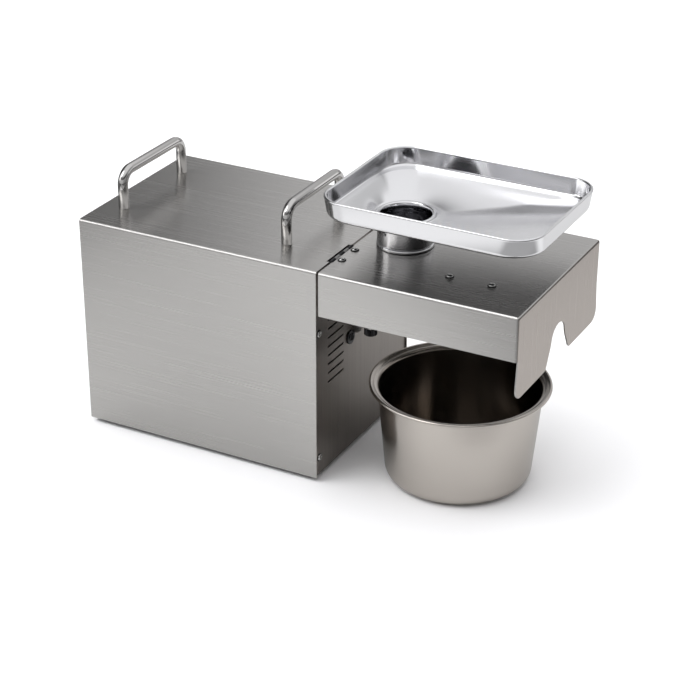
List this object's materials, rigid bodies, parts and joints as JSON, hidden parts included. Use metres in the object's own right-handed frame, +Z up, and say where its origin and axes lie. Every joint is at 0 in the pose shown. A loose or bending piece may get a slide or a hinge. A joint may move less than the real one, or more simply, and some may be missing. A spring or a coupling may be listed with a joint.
{
  "type": "screw oil press",
  "caption": "Table-top screw oil press: brushed steel motor casing with carrying handles, hinged guard over the press head, feed tray and oil pot.",
  "frame": {"origin": "middle of the outer box at the level of the table, under the right part of the motor casing", "axes": "+X from the motor casing towards the press head's free end, +Y from the front to the back, +Z up"},
  "size_m": [0.4514, 0.1894, 0.2755],
  "materials": {
    "brushed_sheet": "satin brushed stainless sheet",
    "satin_steel": "satin spun stainless steel",
    "polished_steel": "mirror polished stainless steel",
    "chrome_bar": "chrome plated bar",
    "machined_steel": "turned and milled steel",
    "gear_steel": "hobbed steel, lightly oiled",
    "plate_steel": "grey zinc plated steel",
    "dark_steel": "black oxide steel",
    "motor_grey": "cast aluminium",
    "black_plastic": "matt black plastic",
    "red_plastic": "glossy red plastic",
    "rubber": "black rubber",
    "band_brass": "brass sleeve",
    "circuit_green": "coated circuit board"
  },
  "bodies": {
    "base": {"casing_cover": "brushed_sheet", "front_panel": "brushed_sheet", "rear_panel": "brushed_sheet", "base_plate": "plate_steel", "motor_cradle": "plate_steel", "gear_plate_front": "plate_steel", "gear_plate_rear": "plate_steel", "handle_left": "chrome_bar", "handle_right": "chrome_bar", "motor_switch_frame": "black_plastic", "heater_switch_frame": "black_plastic", "power_inlet": "black_plastic", "control_board": "circuit_green", "motor_body": "motor_grey", "output_bearing_front": "machined_steel", "output_bearing_rear": "machined_steel", "shaft_bearing_front": "machined_steel", "shaft_bearing_rear": "machined_steel", "barrel_collar": "machined_steel", "press_barrel": "machined_steel", "heater_band": "band_brass", "case_bolt_front_low": "dark_steel", "case_bolt_front_high": "dark_steel", "case_bolt_back_low": "dark_steel", "case_bolt_back_high": "dark_steel", "hinge_fixed_front": "dark_steel", "hinge_fixed_back": "dark_steel", "hinge_pin_front": "machined_steel", "hinge_pin_back": "machined_steel", "foot_left_front": "rubber", "foot_left_back": "rubber", "foot_right_front": "rubber", "foot_right_back": "rubber"},
    "guard": {"guard": "brushed_sheet", "guard_channel": "brushed_sheet", "hinge_moving_front": "machined_steel", "hinge_moving_back": "machined_steel"},
    "tray": {"feed_tray": "polished_steel"},
    "pot": {"oil_pot": "satin_steel"},
    "screw_train": {"output_gear": "gear_steel", "output_shaft": "machined_steel", "press_screw": "machined_steel"},
    "second_shaft": {"intermediate_gear": "gear_steel", "intermediate_shaft": "gear_steel"},
    "rotor": {"motor_shaft": "machined_steel", "cooling_fan": "black_plastic"},
    "motor_rocker": {"motor_switch_rocker": "black_plastic"},
    "heater_rocker": {"heater_switch_rocker": "red_plastic"},
    "plunger": {"lock_plunger": "dark_steel"},
    "choke": {"choke_ring": "machined_steel"},
    "nut": {"adjusting_nut": "machined_steel"}
  },
  "joints": [
    {"name": "guard_hinge", "type": "hinge", "parent": "base", "child": "guard", "pos_m": [0.029, 0.0022, 0.211], "axis": [0, -1, 0], "range_deg": [0, 92]},
    {"name": "tray_lift", "type": "slide", "parent": "base", "child": "tray", "axis": [0, 0, 1], "range_m": [0, 0.306]},
    {"name": "pot_slide", "type": "slide", "parent": "base", "child": "pot", "axis": [0, -1, 0], "range_m": [0, 0.25]},
    {"name": "screw_spin", "type": "hinge", "parent": "base", "child": "screw_train", "pos_m": [0.0791, 0.0022, 0.156], "axis": [1, 0, 0], "continuous": true},
    {"name": "second_shaft_spin", "type": "hinge", "parent": "base", "child": "second_shaft", "pos_m": [-0.0109, 0.0022, 0.111], "axis": [1, 0, 0], "continuous": true},
    {"name": "rotor_spin", "type": "hinge", "parent": "base", "child": "rotor", "pos_m": [-0.0709, 0.0022, 0.076], "axis": [1, 0, 0], "continuous": true},
    {"name": "motor_switch_rock", "type": "hinge", "parent": "base", "child": "motor_rocker", "pos_m": [-0.2152, -0.0443, 0.15], "axis": [0, 1, 0], "range_deg": [-9, 9]},
    {"name": "heater_switch_rock", "type": "hinge", "parent": "base", "child": "heater_rocker", "pos_m": [-0.2152, -0.0083, 0.15], "axis": [0, 1, 0], "range_deg": [0, 16]},
    {"name": "plunger_pull", "type": "slide", "parent": "base", "child": "plunger", "axis": [0, 0, -1], "range_m": [0, 0.005], "stiffness_N_per_m": 300, "springref_m": -0.01},
    {"name": "choke_travel", "type": "slide", "parent": "base", "child": "choke", "axis": [1, 0, 0], "range_m": [0, 0.004]},
    {"name": "nut_turn", "type": "hinge", "parent": "choke", "child": "nut", "pos_m": [0.1791, 0.0022, 0.156], "axis": [1, 0, 0], "range_deg": [0, 720]}
  ],
  "couplings": [
    {"joint": "tray_lift", "follows": "guard_hinge", "m_per_rad": 0.19},
    {"joint": "second_shaft_spin", "follows": "rotor_spin", "ratio": -0.35135},
    {"joint": "screw_spin", "follows": "rotor_spin", "ratio": 0.12345},
    {"joint": "choke_travel", "follows": "nut_turn", "m_per_rad": 0.00031831}
  ]
}
